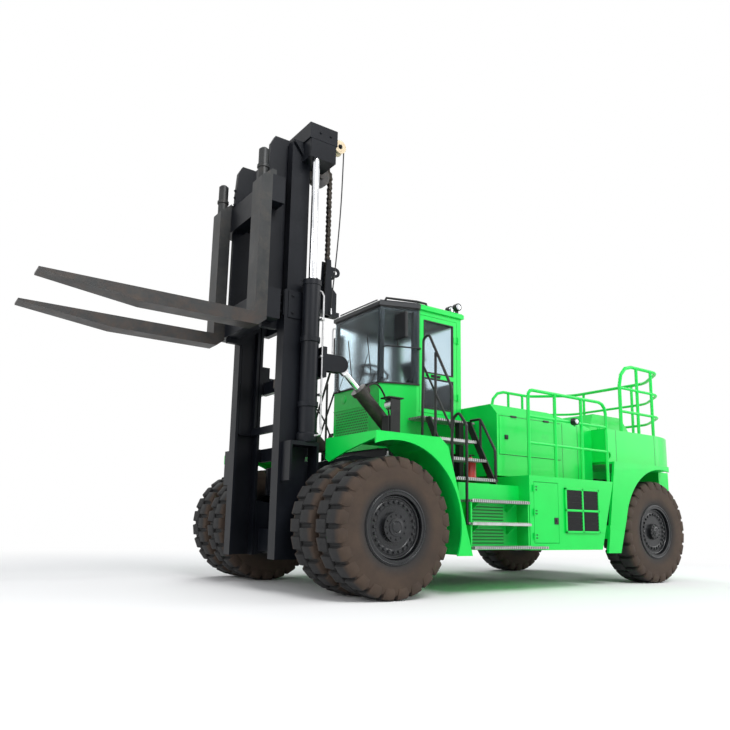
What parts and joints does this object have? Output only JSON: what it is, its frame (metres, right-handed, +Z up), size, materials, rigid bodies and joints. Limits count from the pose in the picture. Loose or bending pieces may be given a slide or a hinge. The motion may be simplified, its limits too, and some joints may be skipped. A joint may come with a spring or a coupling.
{
  "type": "heavy electric forklift truck",
  "caption": "Counterbalanced electric forklift on twin front tyres, with a telescopic mast, a walk-up cab, side boxes, guard rails and a rounded counterweight.",
  "frame": {"origin": "on the ground, midway between the fork tips and the counterweight's rear", "axes": "+X forward, +Y to the driver's left, +Z up; the tyres stand on z = 0"},
  "size_m": [10.88, 4.24, 6.215],
  "materials": {
    "green_paint": "satin",
    "charcoal_paint": "satin",
    "grey_grating": "matte",
    "fork_steel": "satin",
    "cast_grey": "matte",
    "chromed_rod": "polished",
    "chain_steel": "satin",
    "tinted_glass": "tinted",
    "tyre_rubber": "matte",
    "seat_fabric": "matte",
    "dark_plastic": "matte"
  },
  "bodies": {
    "chassis": {"frame": "charcoal_paint", "drive_axle": "charcoal_paint", "steer_axle": "charcoal_paint", "counterweight": "green_paint", "battery_housing": "green_paint", "left_front_fender": "green_paint", "right_front_fender": "green_paint", "left_rear_arch": "green_paint", "right_rear_arch": "green_paint", "left_side_box": "green_paint", "right_side_box": "green_paint", "left_steps": "grey_grating", "right_steps": "grey_grating", "left_stair_rails": "charcoal_paint", "right_stair_rails": "charcoal_paint", "left_box_rail": "green_paint", "right_box_rail": "green_paint", "rear_fence": "green_paint", "cab_shell": "green_paint", "cab_roof": "green_paint", "cab_glass": "tinted_glass", "driver_seat": "seat_fabric", "steering_console": "dark_plastic", "work_lamps": "dark_plastic", "left_mirror": "dark_plastic", "right_mirror": "dark_plastic", "left_box_grille": "charcoal_paint", "right_box_grille": "charcoal_paint"},
    "left_front_wheels": {"left_front_rims": "charcoal_paint", "left_front_outer_tyre": "tyre_rubber", "left_front_inner_tyre": "tyre_rubber"},
    "right_front_wheels": {"right_front_rims": "charcoal_paint", "right_front_outer_tyre": "tyre_rubber", "right_front_inner_tyre": "tyre_rubber"},
    "left_steer_knuckle": {"left_knuckle": "cast_grey"},
    "right_steer_knuckle": {"right_knuckle": "cast_grey"},
    "left_rear_wheel": {"left_rear_rim": "charcoal_paint", "left_rear_tyre": "tyre_rubber"},
    "right_rear_wheel": {"right_rear_rim": "charcoal_paint", "right_rear_tyre": "tyre_rubber"},
    "mast_outer": {"outer_mast": "charcoal_paint", "lift_barrels": "charcoal_paint"},
    "mast_inner": {"inner_mast": "charcoal_paint", "lift_rods": "chromed_rod", "lift_chains": "chain_steel", "chain_sheaves": "cast_grey"},
    "fork_carriage": {"carriage": "charcoal_paint", "left_fork": "fork_steel", "right_fork": "fork_steel"},
    "left_tilt_cylinder": {"left_tilt_barrel": "charcoal_paint"},
    "right_tilt_cylinder": {"right_tilt_barrel": "charcoal_paint"},
    "left_tilt_piston": {"left_tilt_rod": "chromed_rod"},
    "right_tilt_piston": {"right_tilt_rod": "chromed_rod"},
    "left_door": {"left_cab_door": "green_paint", "left_door_glass": "tinted_glass"},
    "right_door": {"right_cab_door": "green_paint", "right_door_glass": "tinted_glass"},
    "left_box_hatch": {"left_box_door": "green_paint"},
    "right_box_hatch": {"right_box_door": "green_paint"}
  },
  "joints": [
    {"name": "left_front_wheels_spin", "type": "hinge", "parent": "chassis", "child": "left_front_wheels", "pos_m": [1.66, 1.567, 0.82], "axis": [0, 1, 0], "continuous": true},
    {"name": "right_front_wheels_spin", "type": "hinge", "parent": "chassis", "child": "right_front_wheels", "pos_m": [1.66, -1.567, 0.82], "axis": [0, 1, 0], "continuous": true},
    {"name": "left_steering", "type": "hinge", "parent": "chassis", "child": "left_steer_knuckle", "pos_m": [-3.96, 1.15, 0.82], "axis": [0, 0, 1], "range_deg": [-65, 65]},
    {"name": "left_rear_wheel_spin", "type": "hinge", "parent": "left_steer_knuckle", "child": "left_rear_wheel", "pos_m": [-3.96, 1.507, 0.82], "axis": [0, 1, 0], "continuous": true},
    {"name": "right_steering", "type": "hinge", "parent": "chassis", "child": "right_steer_knuckle", "pos_m": [-3.96, -1.15, 0.82], "axis": [0, 0, 1], "range_deg": [-65, 65]},
    {"name": "right_rear_wheel_spin", "type": "hinge", "parent": "right_steer_knuckle", "child": "right_rear_wheel", "pos_m": [-3.96, -1.507, 0.82], "axis": [0, 1, 0], "continuous": true},
    {"name": "mast_tilt", "type": "hinge", "parent": "chassis", "child": "mast_outer", "pos_m": [1.66, 0, 0.82], "axis": [0, 1, 0], "range_deg": [-10, 5]},
    {"name": "mast_lift", "type": "slide", "parent": "mast_outer", "child": "mast_inner", "axis": [0, 0, 1], "range_m": [-1.62, 0.1]},
    {"name": "carriage_lift", "type": "slide", "parent": "mast_inner", "child": "fork_carriage", "axis": [0, 0, 1], "range_m": [-1.62, 0.1]},
    {"name": "left_tilt_swing", "type": "hinge", "parent": "chassis", "child": "left_tilt_cylinder", "pos_m": [0.71, 0.955, 1.92], "axis": [0, 1, 0], "range_deg": [-11.5, 11.5]},
    {"name": "left_tilt_stroke", "type": "slide", "parent": "left_tilt_cylinder", "child": "left_tilt_piston", "axis": [0.7374, 0, 0.6754], "range_m": [-0.26, 0.14]},
    {"name": "right_tilt_swing", "type": "hinge", "parent": "chassis", "child": "right_tilt_cylinder", "pos_m": [0.71, -0.955, 1.92], "axis": [0, 1, 0], "range_deg": [-11.5, 11.5]},
    {"name": "right_tilt_stroke", "type": "slide", "parent": "right_tilt_cylinder", "child": "right_tilt_piston", "axis": [0.7374, 0, 0.6754], "range_m": [-0.26, 0.14]},
    {"name": "left_cab_door_swing", "type": "hinge", "parent": "chassis", "child": "left_door", "pos_m": [-0.464, 0.808, 3.2], "axis": [0, 0, 1], "range_deg": [0, 90]},
    {"name": "left_box_door_swing", "type": "hinge", "parent": "chassis", "child": "left_box_hatch", "pos_m": [-0.672, 2.069, 1.05], "axis": [0, 0, -1], "range_deg": [0, 100]},
    {"name": "right_cab_door_swing", "type": "hinge", "parent": "chassis", "child": "right_door", "pos_m": [-0.464, -0.808, 3.2], "axis": [0, 0, -1], "range_deg": [0, 90]},
    {"name": "right_box_door_swing", "type": "hinge", "parent": "chassis", "child": "right_box_hatch", "pos_m": [-0.672, -2.069, 1.05], "axis": [0, 0, 1], "range_deg": [0, 100]}
  ],
  "couplings": [
    {"joint": "right_steering", "follows": "left_steering", "ratio": 1},
    {"joint": "carriage_lift", "follows": "mast_lift", "ratio": 1},
    {"joint": "left_tilt_swing", "follows": "mast_tilt", "ratio": 1.08},
    {"joint": "left_tilt_stroke", "follows": "mast_tilt", "m_per_rad": 1.445},
    {"joint": "right_tilt_swing", "follows": "mast_tilt", "ratio": 1.08},
    {"joint": "right_tilt_stroke", "follows": "mast_tilt", "m_per_rad": 1.445}
  ]
}
